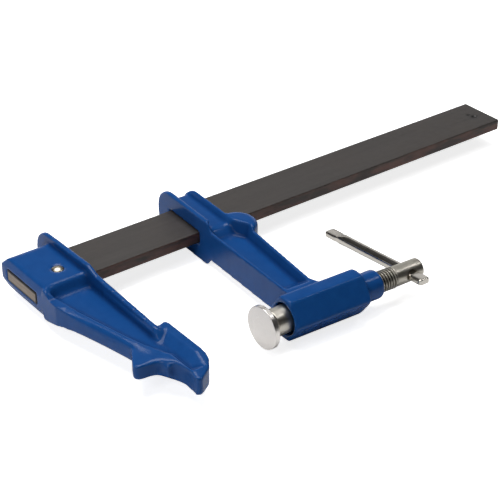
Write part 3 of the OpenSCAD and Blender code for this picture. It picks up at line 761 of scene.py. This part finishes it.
ENAMEL = blue_enamel()
TURNED = plated("bright_zinc", (0.50, 0.475, 0.42, 1), (0.38, 0.36, 0.31, 1), 0.30, 0.16, (7.0, 0.05, 0.05))
DRAWN = plated("drawn_zinc", (0.60, 0.57, 0.52, 1), (0.44, 0.41, 0.37, 1), 0.12, 0.10, (0.06, 5.0, 5.0))
DOME = plated("bright_rivet", (0.42, 0.39, 0.32, 1), (0.34, 0.31, 0.25, 1), 0.30, 0.06, (2.0, 0.6, 0.6))
for thing, finish in ((fixed_casting, ENAMEL), (sliding_casting, ENAMEL), (flat_bar, mill_scale()), (rivet, DOME),
                      (spindle_screw, TURNED), (handle_rod, DRAWN), (pad_disc, pad_zinc()),
                      (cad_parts["pad_ring"], ring_steel())):
    thing.data.materials.clear()
    thing.data.materials.append(finish)


# ---------------------------------------------------------------- floor, light and camera
def floor_finish():
    """Pale matt floor. The camera sees it with a little added white, so that only the soft shadow shows."""
    made = bpy.data.materials.new("floor")
    made.use_nodes = True
    tree = made.node_tree
    tree.nodes.clear()
    out = tree.nodes.new("ShaderNodeOutputMaterial")
    matt = node(tree, "ShaderNodeBsdfDiffuse", Color=(0.86, 0.86, 0.86, 1))
    white = node(tree, "ShaderNodeEmission", Color=(1, 1, 1, 1))
    seen = tree.nodes.new("ShaderNodeLightPath")
    tree.links.new(maths(tree, "MULTIPLY", seen.outputs["Is Camera Ray"], 0.79), white.inputs["Strength"])
    both = tree.nodes.new("ShaderNodeAddShader")
    tree.links.new(matt.outputs[0], both.inputs[0])
    tree.links.new(white.outputs[0], both.inputs[1])
    tree.links.new(both.outputs[0], out.inputs["Surface"])
    return made


def make_floor():
    """Flat square floor, eight metres wide, just under the lowest point of the clamp."""
    mesh = bpy.data.meshes.new("floor")
    half, z = 4, cad_box[0][2] - 0.0001
    mesh.from_pydata([(-half, -half, z), (half, -half, z), (half, half, z), (-half, half, z)], [], [(0, 1, 2, 3)])
    made = bpy.data.objects.new("floor", mesh)
    bpy.context.scene.collection.objects.link(made)
    mesh.materials.append(floor_finish())


make_floor()


def softbox(name, place, wide, high, watts):
    """Rectangular soft light at a place, facing the middle of the clamp."""
    data = bpy.data.lights.new(name, "AREA")
    data.shape, data.size, data.size_y, data.energy = "RECTANGLE", wide, high, watts
    lamp = bpy.data.objects.new(name, data)
    lamp.location = place
    lamp.rotation_euler = (Vector(MIDDLE) - Vector(place)).to_track_quat("-Z", "Y").to_euler()
    bpy.context.scene.collection.objects.link(lamp)


MIDDLE = (0.14, 0.07, 0.0)
softbox("top_light", (0.12, 0.55, 1.65), 1.3, 1.1, 30)
softbox("right_light", (1.15, -0.30, 1.45), 0.35, 0.3, 2.5)
softbox("left_light", (-1.3, -0.2, 0.9), 0.5, 0.9, 6.5)


def sky():
    """Dark studio with a low pale band at the horizon, strongest on the far side, and a pale card above it on
    the far right. It is white where the camera looks past the floor."""
    world = bpy.data.worlds.new("studio")
    bpy.context.scene.world = world
    world.use_nodes = True
    tree = world.node_tree
    back = next(n for n in tree.nodes if n.type == "BACKGROUND")
    seen = tree.nodes.new("ShaderNodeLightPath")
    way = tree.nodes.new("ShaderNodeSeparateXYZ")
    tree.links.new(tree.nodes.new("ShaderNodeTexCoord").outputs["Generated"], way.inputs[0])
    x, y, z = way.outputs
    band = maths(tree, "MULTIPLY", ramp(tree, z, 0.10, 0.26, 0.80, 0.04), ramp(tree, y, -0.2, 0.4, 0.06, 1.0))
    card = maths(tree, "MULTIPLY", ramp(tree, z, 0.50, 0.40, 0.0, 0.75), ramp(tree, x, -0.05, 0.15))
    card = maths(tree, "MULTIPLY", card, ramp(tree, y, 0.30, 0.50))
    level = maths(tree, "MAXIMUM", band, card)
    grey = tree.nodes.new("ShaderNodeCombineColor")
    for index in range(3):
        tree.links.new(level, grey.inputs[index])
    colour = blend_colour(tree, seen.outputs["Is Camera Ray"], grey.outputs[0], (1, 1, 1, 1))
    tree.links.new(colour, back.inputs["Color"])
    back.inputs["Strength"].default_value = 1.0


sky()


def camera():
    """Long lens looking down on the clamp from the free side of the jaws, at about 31 degrees."""
    data = bpy.data.cameras.new("camera")
    data.sensor_width = 36.0
    data.lens = 105.652
    data.clip_start, data.clip_end = 0.05, 20
    made = bpy.data.objects.new("camera", data)
    right, up, back = (0.79048, -0.61239, 0.01048), (0.31048, 0.41541, 0.85501), (-0.52796, -0.67261, 0.51851)
    turn = Matrix((right, up, back)).transposed().to_4x4()
    made.matrix_world = Matrix.Translation((-0.40148, -0.562778, 0.488891)) @ turn
    bpy.context.scene.collection.objects.link(made)
    bpy.context.scene.camera = made


camera()
bpy.context.scene.view_settings.view_transform = "Standard"
